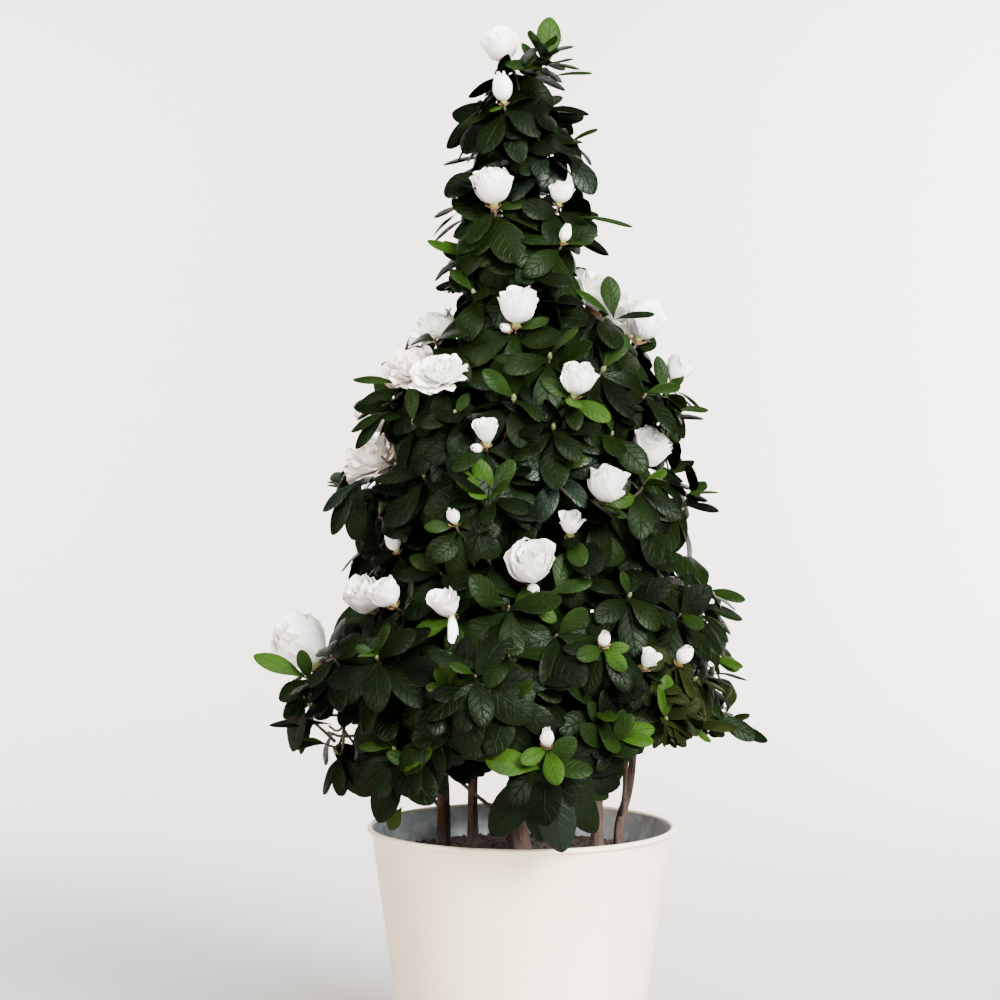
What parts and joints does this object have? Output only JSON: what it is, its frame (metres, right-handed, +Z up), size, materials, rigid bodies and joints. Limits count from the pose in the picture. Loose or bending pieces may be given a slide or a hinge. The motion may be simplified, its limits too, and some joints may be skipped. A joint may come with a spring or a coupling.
{
  "type": "potted azalea shrub",
  "caption": "Evergreen azalea shrub trained to a cone, with woody stems, leafy shoots and white double blooms, in a round tapered metal pot.",
  "frame": {"origin": "centre of the pot's flat underside", "axes": "+Z up through the pot's axis, -Y to the front that the picture shows, +X to the right"},
  "size_m": [0.3764, 0.3736, 0.8333],
  "materials": {
    "pot": "cream white semi-gloss paint",
    "soil": "loose damp peat",
    "bark": "fine rough bark",
    "foliage": "leathery satin leaves"
  },
  "bodies": {
    "root": {"pot": "pot", "soil": "soil", "stem_leader": "bark", "stem_left": "bark", "stem_back_left": "bark", "stem_front": "bark", "stem_right": "bark", "stem_right_outer": "bark", "stem_back_right": "bark", "bough_to_skirt_2": "bark", "bough_to_skirt_3": "bark", "bough_to_skirt_4": "bark", "bough_to_skirt_5": "bark", "bough_to_skirt_6": "bark", "bough_to_skirt_7": "bark", "bough_to_low_2": "bark", "bough_to_low_3": "bark", "bough_to_low_4": "bark", "bough_to_low_5": "bark", "bough_to_high_1": "bark", "bough_to_high_2": "bark", "bough_to_high_3": "bark", "bough_to_neck_1": "bark", "bough_to_neck_2": "bark", "foliage_skirt_1": "foliage", "foliage_skirt_2": "foliage", "foliage_skirt_3": "foliage", "foliage_skirt_4": "foliage", "foliage_skirt_5": "foliage", "foliage_skirt_6": "foliage", "foliage_skirt_7": "foliage", "foliage_low_1": "foliage", "foliage_low_2": "foliage", "foliage_low_3": "foliage", "foliage_low_4": "foliage", "foliage_low_5": "foliage", "foliage_middle_1": "foliage", "foliage_middle_2": "foliage", "foliage_middle_3": "foliage", "foliage_middle_4": "foliage", "foliage_high_1": "foliage", "foliage_high_2": "foliage", "foliage_high_3": "foliage", "foliage_neck_1": "foliage", "foliage_neck_2": "foliage", "foliage_top_1": "foliage"}
  },
  "joints": []
}
